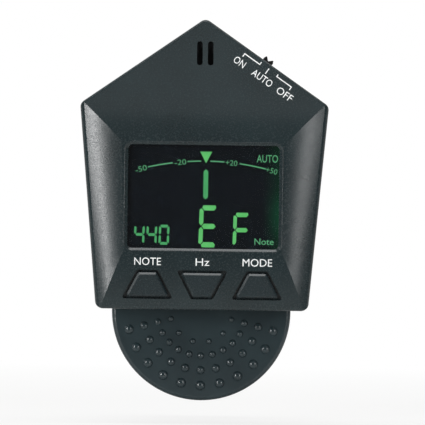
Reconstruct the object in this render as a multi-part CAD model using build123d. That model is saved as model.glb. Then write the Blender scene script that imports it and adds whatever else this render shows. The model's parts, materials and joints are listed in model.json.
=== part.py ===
"""Clip on tuner: a five-sided head with a display, on an arm that tilts and swivels,
carried by a sprung clip that grips an instrument's headstock.

X points right, Z up and the display faces -Y. The origin is the middle of the jaw grip.
"""

from math import acos, asin, atan2, cos, degrees, hypot, radians, sin, tan
import os

from build123d import *

# Head outline, seen from the front
shoulder_width = 50.4
foot_width = 43.0
shoulder_height = 41.5
peak_height = 59.15
corner_radius = 1.6
head_depth = 12.0
wall = 1.5

# Head front: flat round the display, from which roof, foot and side facets fall away on arcs
# by the same depth, so that they meet in straight creases to the shoulders and feet
fall = 1.03
fall_bend = 0.74
facet_low_half = 16.0
facet_high_half = 16.7
side_roll = 1.1
front_round = 0.7
back_round = 1.2
least_round = 0.3

# Head parting line and the lip that aligns the two cases
parting_depth = 7.2
parting_groove = 0.25
lip_height = 1.0
lip_thick = 0.65
fit_gap = 0.1
thread_gap = 0.02

# How far a cutting shape runs past the face that it opens
past = 1.0

# Display
display_height = 22.85
rim_width = 32.0
rim_tall = 22.1
rim_radius = 1.6
window_width = 30.6
window_tall = 20.95
window_radius = 0.9
bevel_depth = 0.5
flange_overlap = 0.6
flange_thickness = 0.6
display_gap = 0.1
glass_thickness = 1.5
glass_radius = 0.4
backlight_thickness = 1.3
backlight_radius = 0.6
strip_tall = 1.6
strip_inset = 1.5
holder_wall = 1.0
holder_radius = 1.2

# Keys
key_spacing = 11.1
key_height = 5.03
key_wide = 10.45
key_narrow = 4.3
key_tall = 5.85
key_gap = 0.5
key_proud = 0.5
key_radius = 0.4
key_bevel = 0.4
key_flange = 0.6
key_flange_rim = 0.35
key_travel = 0.4
key_nib = 0.35
switch_side = 5.0
switch_floor = 0.3
switch_bevel = 0.5
plunger_radius = 1.0
plunger_proud = 0.5

# Microphone
microphone_drop = 7.2
slot_spacing = 2.2
slot_width = 1.15
slot_length = 4.9
microphone_radius = 2.25
microphone_length = 1.9
microphone_hole = 0.6
boot_wall = 0.75
boot_floor = 0.7
boot_mouth = 1.4
boot_ring = 0.8

# Mode slide switch in the right roof edge
knob_depth = 7.6
knob_width = 2.2
knob_tall = 2.0
knob_proud = 1.0
knob_tooth_side = 0.5
knob_tooth_lean = 0.25
knob_tooth_tip = 0.15
knob_notch = 0.65
knob_travel = 2.0
knob_gap = 0.15
knob_plate = 0.5
knob_plate_tall = 2.8
knob_cover = 0.4
nib_width = 1.2
nib_tall = 1.0
nib_length = 0.9
slide_switch_length = 8.6
slide_switch_thick = 3.0
slide_switch_deep = 3.4

# Coin cell and its door
cell_radius = 10.0
cell_thickness = 3.2
cell_rim = 1.1
cell_step = 0.5
cell_bevel = 0.3
cell_height = 12.6
contact_rise = 1.0
contact_width = 4.0
contact_foot = 3.4
contact_reach = 4.0
contact_thickness = 0.25
side_contact_width = 4.8
holder_ring = 1.0
holder_drop = 0.3
door_width = 20.4
door_flange = 1.1
door_margin = 0.6
door_gap = 0.1
door_grips = 3
door_grip_width = 12.0
door_grip_pitch = 1.6
door_grip_depth = 0.3
door_grip_low = 4.0

# Case screws
low_screw_inset = 3.4
low_screw_height = 4.4
high_screw_inset = 5.9
high_screw_height = 38.0
screw_radius = 0.95
screw_length = 5.7
screw_head_radius = 1.75
screw_head_thick = 1.1
screw_seat = 3.0
cross_length = 2.2
cross_width = 0.5
cross_depth = 0.6
boss_radius = 2.3

# Board and what it carries
board_thickness = 0.8
board_margin = 0.3
chip_radius = 4.5
chip_thickness = 1.2
chip_round = 0.9
chip_place = (8.0, 39.0)
piezo_radius = 6.0
piezo_ceramic = 4.5
piezo_layer = 0.2

# Arm: tilts on the clip and carries the head on a swivel stud
arm_thickness = 3.0
arm_gap = 0.4
swivel_height = 30.0
swivel_gap = 0.35
swivel_disc_radius = 9.0
stud_radius = 4.0
swivel_screw_radius = 1.0
swivel_head_radius = 2.0
swivel_head_thick = 1.2
swivel_washer_rim = 1.5
swivel_washer_thick = 0.8
slip_washer_rim = 2.5
running_gap = 0.05
seat_gap = 0.05
arm_round = 2.0
tilt_rise = 3.0
tilt_radius = 2.6
knuckle_half = 6.0
ear_thick = 2.5
ear_gap = 0.3
tilt_pin_radius = 1.0
tilt_clearance = 0.25

# Clip
grip_height = 35.0
grip_gap = 4.6
parallel_gap = 10.0
jaw_pad_width = 18.0
jaw_pad_tall = 16.0
jaw_pad_proud = 2.0
jaw_pad_sunk = 0.6
jaw_pad_radius = 1.5
lever_wall = 2.6
lever_top = 43.5
lever_neck = 23.0
lever_corner = 2.5
lever_throat = 4.0
lever_round = 0.8
lever_back_round = 0.5
finger_radius = 18.3
grip_rows = ((6.4, 1.1, 6), (9.15, 1.35, 11), (12.1, 1.6, 11), (15.25, 1.85, 11))
grip_spread = 75.0
stud_height = 0.4
finger_height = -0.5
rear_lever_neck = 20.0
rear_finger_radius = 17.0
rear_finger_slope = 18.0
rear_finger_length = 34.0
pin_height = 15.0
pin_radius = 1.25
lug_radius = 3.2
lug_thick = 2.5
lug_gap = 0.2
rear_lug_half = 6.8
spring_wire = 1.1
spring_radius = 3.1
spring_turns = 3
spring_leg = 15.0
spring_seat_width = 5.0
spring_seat_tall = 4.0

# Positions that follow from the sizes above
front_pad_y = -grip_gap / 2
lever_back_y = front_pad_y - jaw_pad_proud
lever_front_y = lever_back_y - lever_wall
arm_back_y = lever_front_y - arm_gap
arm_front_y = arm_back_y - arm_thickness
head_back_y = arm_front_y - swivel_gap
head_front_y = head_back_y - head_depth
tilt_y = head_back_y + tilt_radius + tilt_clearance
pin_y = 0.0
front_lug_half = rear_lug_half + lug_gap + lug_thick
tilt_height = lever_top + tilt_rise
ear_inner = knuckle_half + ear_gap

# Heights between which the front falls away
display_low = display_height - rim_tall / 2
display_high = display_height + rim_tall / 2
roof_width = shoulder_height - display_high


def fall_slopes(width):
    """Slopes at the start and end of the arc by which the front falls away across a width."""
    mean = atan2(fall, width)
    return mean * (1 - fall_bend), mean * (1 + fall_bend)


def fall_radius(width):
    low, high = fall_slopes(width)
    return width / (sin(high) - sin(low))


def fall_at(width, reach):
    """Depth and slope of the front at a reach from the flat, straight on beyond the arc."""
    low, high = fall_slopes(width)
    radius = fall_radius(width)
    slope = asin(sin(low) + min(reach, width) / radius)
    return radius * (cos(low) - cos(slope)) + max(reach - width, 0) * tan(high), slope


# Depths behind the flat of the head's front
flange_width = window_width + 2 * flange_overlap
flange_tall = window_tall + 2 * flange_overlap
flange_back = wall + flange_thickness
glass_front = flange_back + display_gap
glass_back = glass_front + glass_thickness
backlight_back = glass_back + backlight_thickness
board_depth = backlight_back + 2 * fit_gap
board_back = board_depth + board_thickness
inner_back = head_depth - wall
track_depth = inner_back + wall / 2
screw_seat_depth = head_depth - screw_seat
screw_tip = screw_seat_depth - screw_length
cell_depth = board_back + contact_rise
foot_drop, foot_slope = fall_at(display_low, display_low - key_height)
plunger_front = foot_drop + (wall + fit_gap + key_flange) / cos(foot_slope) + key_nib
switch_front = plunger_front + plunger_proud

# Heights above the head's foot, and half widths
microphone_height = peak_height - microphone_drop
boot_radius = microphone_radius + boot_wall
boot_top_drop, roof_slope = fall_at(roof_width, microphone_height + boot_radius - display_high)
boot_front = boot_top_drop + wall / cos(roof_slope)
boot_back = boot_front + boot_floor + microphone_length
board_rise = (board_depth - wall / cos(roof_slope) - fall_at(roof_width, roof_width)[0]) / tan(roof_slope)
board_top = shoulder_height + board_rise - 2 * board_margin
door_top = cell_height + cell_radius + door_margin
door_half = door_width / 2
stud_end = inner_back - fit_gap
knob_slope = degrees(atan2(peak_height - shoulder_height, shoulder_width / 2))


def half_width(height):
    """Half the head's width at a height above its foot."""
    return (foot_width + (shoulder_width - foot_width) * height / shoulder_height) / 2


piezo_place = (-(stud_radius + swivel_washer_rim + piezo_radius + 2 * board_margin), swivel_height + 1.5)
screw_places = [
    (side * (half_width(height) - inset), height)
    for inset, height in ((low_screw_inset, low_screw_height), (high_screw_inset, high_screw_height))
    for side in (-1, 1)
]

# The rear jaw closes from the parallel position until the pads are grip_gap apart
jaw_arm = grip_height - pin_height
jaw_back = front_pad_y + parallel_gap - pin_y
jaw_reach = hypot(jaw_back, jaw_arm)
closing_angle = degrees(acos((grip_gap / 2 - pin_y) / jaw_reach) - atan2(jaw_arm, jaw_back))


def up(height):
    """Z of a height above the head's foot."""
    return height - grip_height


def deep(depth):
    """Y of a depth behind the flat of the head's front."""
    return head_front_y + depth


def slab(profile, front_y, back_y):
    """An X-Z profile made solid between two Y positions."""
    return extrude(Plane.XZ.offset(-back_y) * profile, amount=back_y - front_y)


def cylinder_y(x, z, radius, front_y, back_y):
    return slab(Pos(x, z) * Circle(radius), front_y, back_y)


def post(x, height, radius, front, back):
    """A cylinder along Y placed by height above the foot and by depths in the head."""
    return cylinder_y(x, up(height), radius, deep(front), deep(back))


def box(low, high):
    size = [b - a for a, b in zip(low, high)]
    middle = [(a + b) / 2 for a, b in zip(low, high)]
    return Pos(*middle) * Box(*size)


def rounded(width, tall, radius, x=0.0, z=0.0):
    return Pos(x, z) * RectangleRounded(width, tall, radius)


def side_block(profile, low_x, high_x):
    """A Y-Z profile made solid between two X positions."""
    return extrude(Plane.YZ.offset(low_x) * profile, amount=high_x - low_x)


# ---- the head's outer form, which the cases, door and boards are cut from


def head_outline(inset=0.0):
    corners = [
        (-foot_width / 2, up(0)),
        (foot_width / 2, up(0)),
        (shoulder_width / 2, up(shoulder_height)),
        (0, up(peak_height)),
        (-shoulder_width / 2, up(shoulder_height)),
    ]
    face = make_face(Polyline(*corners, close=True))
    if inset:
        face = offset(face, -inset, kind=Kind.INTERSECTION)
    return fillet(face.vertices(), max(corner_radius - inset, least_round))


def fall_cut(start_height, width, toward, inset):
    """Everything in front of the arc, and the plane beyond it, by which the front falls away."""
    low, high = fall_slopes(width)
    radius = fall_radius(width)
    start = acos((radius * cos(low) - inset) / (radius - inset))
    points = []
    for slope in (start, (start + high) / 2, high):
        reach = (radius - inset) * sin(slope) - radius * sin(low)
        depth = radius * cos(low) - (radius - inset) * cos(slope)
        points.append((deep(depth), up(start_height + toward * reach)))
    beyond_y = points[2][0] + peak_height * tan(high)
    beyond_z = points[2][1] + toward * peak_height
    front = deep(-past)
    outside = Polyline(points[2], (beyond_y, beyond_z), (front, beyond_z), (front, points[0][1]), points[0])
    profile = make_face(ThreePointArc(*points) + outside)
    return side_block(profile, -shoulder_width, shoulder_width)


def facet_profile(width, roll, low, high):
    """A gentle convex arc that ends in a tight roll to the side wall."""
    roll_start = roll * (1 - sin(high))
    radius = (width - roll_start) / (sin(high) - sin(low))
    drop = radius * (cos(low) - cos(high))
    end = drop + roll * cos(high)
    mid = (low + high) / 2
    turn = (high + radians(90)) / 2
    arc_mid = (width - radius * (sin(mid) - sin(low)), radius * (cos(low) - cos(mid)))
    roll_mid = (roll * (1 - sin(turn)), end - roll * cos(turn))
    arc = ThreePointArc((width, 0), arc_mid, (roll_start, drop))
    corner = ThreePointArc((roll_start, drop), roll_mid, (0, end))
    beyond = -2 * corner_radius
    outside = Polyline((0, end), (beyond, end), (beyond, beyond), (width, beyond), (width, 0))
    return make_face(arc + corner + outside)


def facet_cut(side, inset):
    """The rounded side facet, whose inner edge leans less than the head's side."""
    faces = []
    roll = max(side_roll - inset, least_round)
    for height in (-corner_radius * 4, peak_height + corner_radius * 4):
        half = half_width(height)
        rise = (height - display_low) / (display_high - display_low)
        inner = facet_low_half + (facet_high_half - facet_low_half) * rise
        low, high = fall_slopes(half - inner - side_roll)
        width = half - inner - inset + inset * tan(low / 2)
        origin = (side * (half - inset), deep(inset), up(height))
        plane = Plane(origin=origin, x_dir=(-side, 0, 0), z_dir=(0, 0, -side))
        faces.append(plane * facet_profile(width, roll, low, high))
    return loft(faces, ruled=True)


def head_form(inset=0.0, back_depth=head_depth):
    form = slab(head_outline(inset), deep(inset), deep(back_depth))
    form -= fall_cut(display_high, roof_width, 1, inset)
    form -= fall_cut(display_low, display_low, -1, inset)
    if not inset:
        edges = form.edges()
        level = [e for e in edges if e.center().Z > up(least_round) and abs(e.tangent_at(0.5).X) > 0.999]
        rim = edges.filter_by_position(Axis.Y, deep(least_round), deep(head_depth - least_round))
        rim = [e for e in rim if e not in level and abs(e.tangent_at(0.5).Y) < 0.5]
        form = fillet(rim, front_round)
        form = fillet(form.faces().sort_by(Axis.Y)[-1].edges(), back_round)
    for side in (-1, 1):
        form -= facet_cut(side, inset)
    return form


head = head_form()
cavity = head_form(wall, inner_back)
around_head = Rectangle(2 * shoulder_width, 4 * peak_height)
case_front_half = slab(around_head, deep(-past), deep(parting_depth))
case_back_half = slab(around_head, deep(parting_depth), deep(head_depth + past))

# ---- display


def display_sheet(width, tall, radius, front, back):
    return slab(rounded(width, tall, radius, 0, up(display_height)), deep(front), deep(back))


def window_cut():
    rim = rounded(rim_width, rim_tall, rim_radius, 0, up(display_height))
    window = rounded(window_width, window_tall, window_radius, 0, up(display_height))
    outer = Plane.XZ.offset(-deep(0)) * rim
    bevel = loft([outer, Plane.XZ.offset(-deep(bevel_depth)) * window], ruled=True)
    above = slab(rim, deep(-past), deep(0))
    return bevel + above + slab(window, deep(bevel_depth), deep(wall + past))


def make_display_lens():
    gap = 2 * fit_gap
    plug = display_sheet(window_width - gap, window_tall - gap, window_radius, bevel_depth, wall)
    return plug + display_sheet(flange_width, flange_tall, window_radius, wall, flange_back)


def make_display_glass():
    return display_sheet(flange_width, flange_tall, glass_radius, glass_front, glass_back)


def make_backlight():
    low = up(display_height) - flange_tall / 2 + strip_tall + 2 * fit_gap + board_margin
    high = up(display_height) + flange_tall / 2
    panel = box((-flange_width / 2, deep(glass_back), low), (flange_width / 2, deep(backlight_back), high))
    return fillet(panel.edges().filter_by(Axis.Y), backlight_radius)


def make_contact_strip():
    low = up(display_height) - flange_tall / 2 + 2 * fit_gap
    half = flange_width / 2 - strip_inset
    return box((-half, deep(glass_back), low), (half, deep(board_depth), low + strip_tall))


def make_display_holder():
    width = flange_width + 2 * fit_gap
    tall = flange_tall + 2 * fit_gap
    outer_width = width + 2 * holder_wall
    outer_tall = tall + 2 * holder_wall
    frame = display_sheet(outer_width, outer_tall, holder_radius, glass_front, board_depth)
    return frame - display_sheet(width, tall, glass_radius, glass_front - past, board_depth + past)


# ---- keys and their switches


def key_plane(x):
    normal = (0, -cos(foot_slope), -sin(foot_slope))
    return Plane(origin=(x, deep(foot_drop), up(key_height)), x_dir=(1, 0, 0), z_dir=normal)


def key_profile(wide_end, grow):
    wide = key_wide / 2
    narrow = key_narrow / 2
    half = key_tall / 2
    corners = [(-wide, -half), (wide, -half), (narrow, half), (-narrow, half)]
    face = make_face(Polyline(*[(x, y * wide_end) for x, y in corners], close=True))
    face = offset(face, grow, kind=Kind.INTERSECTION)
    return fillet(face.vertices(), key_radius)


def key_opening(x, wide_end):
    return extrude(key_plane(x).offset(-wall - past) * key_profile(wide_end, 0), amount=wall + 2 * past)


def make_key(x, wide_end):
    plane = key_plane(x)
    flange_front = wall + fit_gap
    cap_profile = key_profile(wide_end, -key_gap)
    cap = extrude(plane.offset(-flange_front) * cap_profile, amount=flange_front + key_proud)
    cap = chamfer(cap.faces().sort_by(Axis.Y)[0].edges(), key_bevel)
    flange_profile = key_profile(wide_end, key_flange_rim)
    flange = extrude(plane.offset(-flange_front - key_flange) * flange_profile, amount=key_flange)
    nib_start = deep(plunger_front - key_nib - key_flange / 2)
    nib = cylinder_y(x, up(key_height), plunger_radius, nib_start, deep(plunger_front))
    return cap + flange + nib


def make_switch(x):
    half = switch_side / 2
    low = up(key_height) - half
    body = box((x - half, deep(switch_front), low), (x + half, deep(board_depth), low + switch_side))
    body = chamfer(body.edges().filter_by(Axis.Y), switch_bevel)
    well = post(x, key_height, plunger_radius + fit_gap, switch_front - past, board_depth - switch_floor)
    return body - well


def make_plunger(x):
    end = board_depth - switch_floor - key_travel - seat_gap
    return post(x, key_height, plunger_radius, plunger_front, end)


# ---- mode switch

knob_middle = (shoulder_width / 4, (shoulder_height + peak_height) / 2)
knob_plane = Plane(
    origin=(knob_middle[0], deep(knob_depth), up(knob_middle[1])),
    x_dir=(cos(radians(knob_slope)), 0, -sin(radians(knob_slope))),
    z_dir=(sin(radians(knob_slope)), 0, cos(radians(knob_slope))),
)
knob_slot_length = knob_width + 2 * knob_travel + 2 * knob_gap
knob_plate_length = knob_slot_length + 2 * knob_travel + 2 * knob_cover
plate_top = -wall - fit_gap
switch_top = plate_top - knob_plate - 2 * fit_gap


def make_switch_knob():
    """Two ridged teeth with a notch between them, on a plate that runs behind the slot."""
    low = plate_top - knob_plate / 2
    half = knob_width / 2
    lean = half - knob_tooth_lean
    tip = lean - knob_tooth_tip
    side = knob_proud - knob_tooth_side
    tooth = [(half, low), (half, side), (lean, knob_proud), (tip, knob_proud), (0, knob_proud - knob_notch)]
    crown = Polyline(*tooth, *[(-x, z) for x, z in tooth[-2::-1]], close=True)
    stem = extrude(Plane.XZ.offset(-knob_tall / 2) * make_face(crown), amount=knob_tall)
    half = knob_plate_length / 2
    tall = knob_plate_tall / 2
    plate = box((-half, -tall, plate_top - knob_plate), (half, tall, plate_top))
    half = nib_width / 2
    tall = nib_tall / 2
    nib = box((-half, -tall, switch_top - nib_length), (half, tall, plate_top - knob_plate / 2))
    return knob_plane * (stem + plate + nib)


def make_slide_switch():
    half = slide_switch_length / 2
    back = board_back - knob_depth
    body = box((-half, back, switch_top - slide_switch_deep), (half, back + slide_switch_thick, switch_top))
    reach = nib_width / 2 + knob_travel + knob_gap
    tall = nib_tall / 2 + knob_gap
    floor = switch_top - nib_length - knob_gap
    return knob_plane * (body - box((-reach, -tall, floor), (reach, tall, switch_top + past)))


def knob_slot():
    half = knob_slot_length / 2
    tall = knob_tall / 2 + knob_gap
    return knob_plane * box((-half, -tall, -wall - past), (half, tall, past))


# ---- cases


def make_front_case():
    case = (head & case_front_half) - cavity
    lip_room = head_outline(wall - lip_thick - fit_gap) - head_outline(wall + lip_thick)
    case -= slab(lip_room, deep(parting_depth - lip_height - fit_gap), deep(parting_depth + past))
    for x, height in screw_places:
        case += post(x, height, boss_radius, 0, board_depth) & head
        case -= post(x, height, screw_radius + thread_gap, screw_tip - fit_gap, board_depth + past)
    ring_radius = boot_radius + fit_gap + boot_ring
    case += post(0, microphone_height, ring_radius, 0, boot_back - boot_ring) & head
    case -= post(0, microphone_height, boot_radius + fit_gap, boot_front, head_depth)
    case -= window_cut()
    for x, wide_end in key_places.values():
        case -= key_opening(x, wide_end)
    for side in (-1, 1):
        x = side * slot_spacing / 2
        slot = rounded(slot_width, slot_length, slot_width / 2 - thread_gap, x, up(microphone_height))
        case -= slab(slot, deep(-past), deep(boot_front + boot_floor))
    return case - knob_slot()


def door_form(gap, track_front, flange_end, low):
    """The door's plate and the wider flange that runs in the track, or with a gap the room for them."""
    top = up(door_top) + gap
    half = door_half + gap
    plate = box((-half, deep(track_front), low), (half, deep(head_depth + past), top))
    half += door_flange
    return plate + box((-half, deep(track_front), low), (half, deep(flange_end), top))


def make_rear_case():
    case = (head & case_back_half) - cavity
    groove = head_outline(-1) - head_outline(parting_groove)
    case -= slab(groove, deep(parting_depth - past), deep(parting_depth + parting_groove))
    lip = head_outline(wall - lip_thick) - head_outline(wall)
    case += slab(lip, deep(parting_depth - lip_height), deep(parting_depth))
    inside = slab(head_outline(wall), deep(0), deep(parting_depth))
    inside += slab(head_outline(wall - board_margin), deep(parting_depth), deep(head_depth))
    for x, height in screw_places:
        case += post(x, height, boss_radius, board_back, inner_back) & inside
        case -= post(x, height, screw_head_radius + fit_gap, screw_seat_depth, head_depth + past)
        case -= post(x, height, screw_radius + fit_gap, board_back - past, head_depth)
    case -= door_form(door_gap, inner_back - past, track_depth, up(-past))
    case -= post(0, swivel_height, stud_radius + running_gap, inner_back - past, head_depth + past)
    return case - knob_slot()


def make_battery_door():
    door = door_form(0, inner_back, track_depth - door_gap, up(0)) & head
    half = door_grip_width / 2
    front = deep(head_depth - door_grip_depth)
    for step in range(door_grips):
        z = up(door_grip_low + door_grip_pitch * step)
        door -= box((-half, front, z), (half, deep(head_depth + past), z + door_grip_pitch / 2))
    return door


# ---- electronics inside the head


def make_circuit_board():
    margin = wall + board_margin
    board = slab(head_outline(margin), deep(board_depth), deep(board_back))
    wide = shoulder_width
    board -= box((-wide, deep(0), up(board_top)), (wide, deep(head_depth), up(peak_height)))
    half = boot_radius + fit_gap + boot_ring + board_margin
    notch = up(microphone_height) - half
    board -= box((-half, deep(0), notch), (half, deep(head_depth), up(peak_height)))
    for x, height in screw_places:
        board -= post(x, height, screw_radius + board_margin, 0, head_depth)
    return board


def make_controller_chip():
    chip = post(*chip_place, chip_radius, board_back, board_back + chip_thickness)
    return chamfer(chip.faces().sort_by(Axis.Y)[-1].edges(), chip_round)


def make_microphone():
    front = boot_front + boot_floor
    body = post(0, microphone_height, microphone_radius, front, boot_back)
    return body - post(0, microphone_height, microphone_hole, front - past, front + microphone_hole)


def make_microphone_boot():
    boot = post(0, microphone_height, boot_radius, boot_front, boot_back)
    floor = boot_front + boot_floor
    boot -= post(0, microphone_height, microphone_radius + thread_gap, floor, boot_back + past)
    return boot - post(0, microphone_height, boot_mouth, 0, boot_back)


def make_piezo_disc():
    middle = inner_back - piezo_layer
    plate = post(*piezo_place, piezo_radius, middle, inner_back)
    return plate + post(*piezo_place, piezo_ceramic, middle - piezo_layer, middle)


def make_coin_cell():
    step = cell_depth + cell_step
    cell = post(0, cell_height, cell_radius, step, cell_depth + cell_thickness)
    cell = chamfer(cell.faces().sort_by(Axis.Y)[-1].edges(), cell_bevel)
    return cell + post(0, cell_height, cell_radius - cell_rim, cell_depth, step)


def make_battery_holder():
    inner = cell_radius + 2 * fit_gap
    back = cell_depth + cell_thickness - holder_drop
    ring = post(0, cell_height, inner + holder_ring, board_back, back)
    ring -= post(0, cell_height, inner, board_back - past, back + past)
    ring &= slab(head_outline(wall + 2 * fit_gap), deep(0), deep(head_depth))
    half = side_contact_width / 2 + board_margin
    z = up(cell_height)
    return ring - box((-half, deep(0), z), (half, deep(head_depth), z + inner + 2 * holder_ring))


def make_low_contact():
    """A leaf spring from the board up to the cell's underside."""
    thick = contact_thickness
    base = deep(board_back)
    top = deep(cell_depth)
    z = up(cell_height)
    lower = [(base, z - contact_reach - contact_foot), (base, z - contact_reach), (top - thick, z)]
    lower += [(top - thick, z + contact_reach)]
    upper = [(top, z + contact_reach), (top, z - thick / 2), (base + thick, z - contact_reach - thick / 2)]
    upper += [(base + thick, z - contact_reach - contact_foot)]
    leaf = make_face(Polyline(*lower, *upper, close=True))
    return side_block(leaf, -contact_width / 2, contact_width / 2)


def make_side_contact():
    half = side_contact_width / 2
    z = up(cell_height) + cell_radius
    top = z + contact_thickness
    front = deep(board_back)
    leaf = box((-half, front, z), (half, deep(cell_depth + cell_thickness - cell_step - fit_gap), top))
    return leaf + box((-half, front, z), (half, front + contact_thickness, top + 2 * holder_ring))


def cross_recess(x, z, top_y, toward):
    """The crossed slot of a screw head whose top is at top_y; toward points out of the head."""
    low, high = sorted((top_y - toward * cross_depth, top_y + toward))
    arms = []
    for wide, tall in ((cross_length, cross_width), (cross_width, cross_length)):
        arms.append(box((x - wide / 2, low, z - tall / 2), (x + wide / 2, high, z + tall / 2)))
    return arms[0] + arms[1]


def make_case_screw(x, height):
    head_top = screw_seat_depth + screw_head_thick
    screw = post(x, height, screw_head_radius, screw_seat_depth, head_top)
    screw += post(x, height, screw_radius, screw_tip, screw_seat_depth)
    return screw - cross_recess(x, up(height), deep(head_top), 1)


# ---- arm and swivel

washer_front_y = deep(stud_end) - swivel_washer_thick
screw_end_y = arm_back_y - arm_thickness / 3


def make_tilt_arm():
    z = up(swivel_height)
    axis_z = up(tilt_height)
    neck = Pos(0, (z + axis_z) / 2) * Rectangle(2 * (knuckle_half - fit_gap), axis_z - z)
    arm = slab(Pos(0, z) * Circle(swivel_disc_radius) + neck, arm_front_y, arm_back_y)
    throat = arm.edges().filter_by(Axis.Y).filter_by_position(Axis.Z, z + stud_radius, axis_z - past)
    arm = fillet(throat, arm_round)
    arm += side_block(Pos(tilt_y, axis_z) * Circle(tilt_radius), -knuckle_half, knuckle_half)
    arm += cylinder_y(0, z, stud_radius, deep(stud_end), arm_front_y)
    hole = Pos(tilt_y, axis_z) * Circle(tilt_pin_radius + running_gap)
    arm -= side_block(hole, -2 * knuckle_half, 2 * knuckle_half)
    start_y = deep(stud_end) - past
    return arm - cylinder_y(0, z, swivel_screw_radius + thread_gap, start_y, screw_end_y + fit_gap)


def washer(inner, outer, front_y, back_y):
    z = up(swivel_height)
    return cylinder_y(0, z, outer, front_y, back_y) - cylinder_y(0, z, inner, front_y - past, back_y + past)


def make_friction_washer():
    outer = stud_radius + slip_washer_rim
    return washer(stud_radius + fit_gap, outer, head_back_y + seat_gap, arm_front_y)


def make_swivel_washer():
    outer = stud_radius + swivel_washer_rim
    return washer(swivel_screw_radius + fit_gap, outer, washer_front_y, deep(stud_end))


def make_swivel_screw():
    z = up(swivel_height)
    top = washer_front_y - swivel_head_thick
    screw = cylinder_y(0, z, swivel_head_radius, top, washer_front_y)
    screw += cylinder_y(0, z, swivel_screw_radius, washer_front_y, screw_end_y)
    return screw - cross_recess(0, z, top, -1)


def make_tilt_pin():
    half = ear_inner + ear_thick
    return side_block(Pos(tilt_y, up(tilt_height)) * Circle(tilt_pin_radius), -half, half)


# ---- clip


def grip_studs(plane):
    """Rows of low studs on arcs below the middle of a finger pad."""
    studs = []
    for radius, width, count in grip_rows:
        for index in range(count):
            angle = radians(grip_spread * (2 * index / (count - 1) - 1))
            place = Pos(radius * sin(angle), -radius * cos(angle), stud_height / 2)
            studs.append(plane * place * Cone(width / 2, width / 2 - stud_height, stud_height))
    return studs


def lug(root_y, low_x, high_x):
    """A cheek that joins a lever to the round eye on the clip's pin."""
    z = up(pin_height)
    eye = Pos(pin_y, z) * Circle(lug_radius)
    root = Pos((root_y + pin_y) / 2, z) * Rectangle(abs(root_y - pin_y), 2 * lug_radius)
    return side_block(eye + root, low_x, high_x)


def pin_hole(radius):
    return side_block(Pos(pin_y, up(pin_height)) * Circle(radius), -lever_neck, lever_neck)


def both_sides(inner, outer):
    return [sorted((side * inner, side * outer)) for side in (-1, 1)]


def jaw_pad_room(front_y, back_y):
    profile = rounded(jaw_pad_width + fit_gap, jaw_pad_tall + fit_gap, jaw_pad_radius, 0, up(grip_height))
    return slab(profile, front_y, back_y)


def make_front_lever():
    z = up(finger_height)
    top = up(lever_top)
    neck = Pos(0, (z + top) / 2) * Rectangle(lever_neck, top - z)
    lever = slab(Pos(0, z) * Circle(finger_radius) + neck, lever_front_y, lever_back_y)
    upright = lever.edges().filter_by(Axis.Y)
    throat = upright.filter_by_position(Axis.Z, z + lever_throat, top - lever_throat)
    lever = fillet(throat, lever_throat)
    corners = lever.edges().filter_by(Axis.Y).filter_by_position(Axis.Z, top - 0.1, top + 0.1)
    lever = fillet(corners, lever_corner)
    lever = fillet(lever.faces().sort_by(Axis.Y)[0].edges(), lever_round)
    lever = fillet(lever.faces().sort_by(Axis.Y)[-1].edges(), lever_back_round)
    for low, high in both_sides(rear_lug_half + lug_gap, front_lug_half):
        lever += lug(lever_back_y - lever_back_round, low, high)
    eye = Pos(tilt_y, up(tilt_height)) * Circle(tilt_radius)
    root_y = (lever_front_y + lever_back_y) / 2
    root = Pos(root_y, top - tilt_radius) * Rectangle(lever_wall, 2 * (tilt_radius - lever_back_round))
    ear = make_face(make_hull(eye.edges() + root.edges()))
    for low, high in both_sides(ear_inner, ear_inner + ear_thick):
        lever += side_block(ear, low, high)
    seat_y = pin_y - spring_radius - spring_wire / 2 - seat_gap
    seat_z = up(pin_height) - spring_leg
    seat_low = (0, lever_back_y - lever_back_round, seat_z - spring_seat_tall / 4)
    lever += box(seat_low, (spring_seat_width, seat_y, seat_z + spring_seat_tall))
    lever -= jaw_pad_room(lever_back_y - jaw_pad_sunk, lever_back_y + past)
    lever -= pin_hole(pin_radius)
    lever -= side_block(Pos(tilt_y, up(tilt_height)) * Circle(tilt_pin_radius), -lever_neck, lever_neck)
    plane = Plane(origin=(0, lever_front_y, z), x_dir=(1, 0, 0), z_dir=(0, -1, 0))
    return lever + grip_studs(plane)


def make_front_jaw_pad():
    pad = rounded(jaw_pad_width, jaw_pad_tall, jaw_pad_radius, 0, up(grip_height))
    return slab(pad, lever_back_y - jaw_pad_sunk, front_pad_y)


def closed(shape):
    """Turn a rear clip shape from the parallel position to the closed one."""
    pin = Pos(0, pin_y, up(pin_height))
    return pin * Rot(closing_angle, 0, 0) * pin.inverse() * shape


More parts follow.
